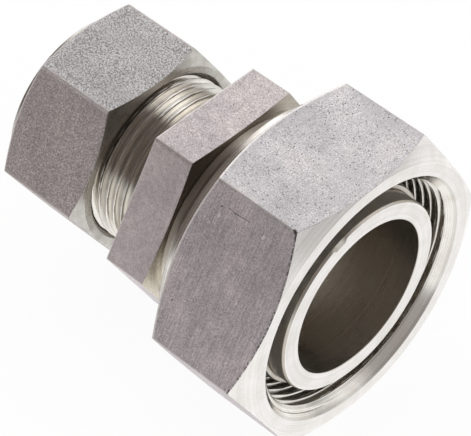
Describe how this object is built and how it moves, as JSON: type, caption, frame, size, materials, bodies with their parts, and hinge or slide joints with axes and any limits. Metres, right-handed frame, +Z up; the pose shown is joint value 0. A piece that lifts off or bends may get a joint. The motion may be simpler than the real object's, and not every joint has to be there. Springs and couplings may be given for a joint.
{
  "type": "tube reducing fitting",
  "caption": "Straight steel reducer for tubes: a plain tube stub with a loose union nut at one end, a threaded coned socket with a nut at the other, and a hexagon between.",
  "frame": {"origin": "centre of the stub's end face, on the fitting's axis", "axes": "+X along the axis, out of the large nut's mouth; +Z up, square to the large nut's upper flat; +Y to the side, towards a corner of that nut"},
  "size_m": [0.0763, 0.0692, 0.06],
  "materials": {
    "turned_steel": "bright turned stainless steel with grey hexagon flats",
    "nut_steel": "pickled grey flats, bright turned chamfers and threads",
    "ring_steel": "fine turned stainless steel"
  },
  "bodies": {
    "body": {"body": "turned_steel"},
    "small_ring": {"small_cutting_ring": "ring_steel"},
    "small_nut": {"small_nut": "nut_steel"},
    "large_ring": {"large_cutting_ring": "ring_steel"},
    "large_nut": {"large_nut": "nut_steel"}
  },
  "joints": [
    {"name": "small_ring_advance", "type": "slide", "parent": "body", "child": "small_ring", "axis": [1, 0, 0], "range_m": [-0.002, 0.0025]},
    {"name": "small_nut_turn", "type": "hinge", "parent": "small_ring", "child": "small_nut", "pos_m": [-0.064, 0, 0], "axis": [1, 0, 0], "range_deg": [-360, 450]},
    {"name": "large_ring_turn", "type": "hinge", "parent": "body", "child": "large_ring", "pos_m": [-0.011, 0, 0], "axis": [1, 0, 0], "continuous": true},
    {"name": "large_nut_slide", "type": "slide", "parent": "large_ring", "child": "large_nut", "axis": [1, 0, 0], "range_m": [-0.0048, 0]}
  ],
  "couplings": [
    {"joint": "small_ring_advance", "follows": "small_nut_turn", "m_per_rad": 0.00031831}
  ]
}
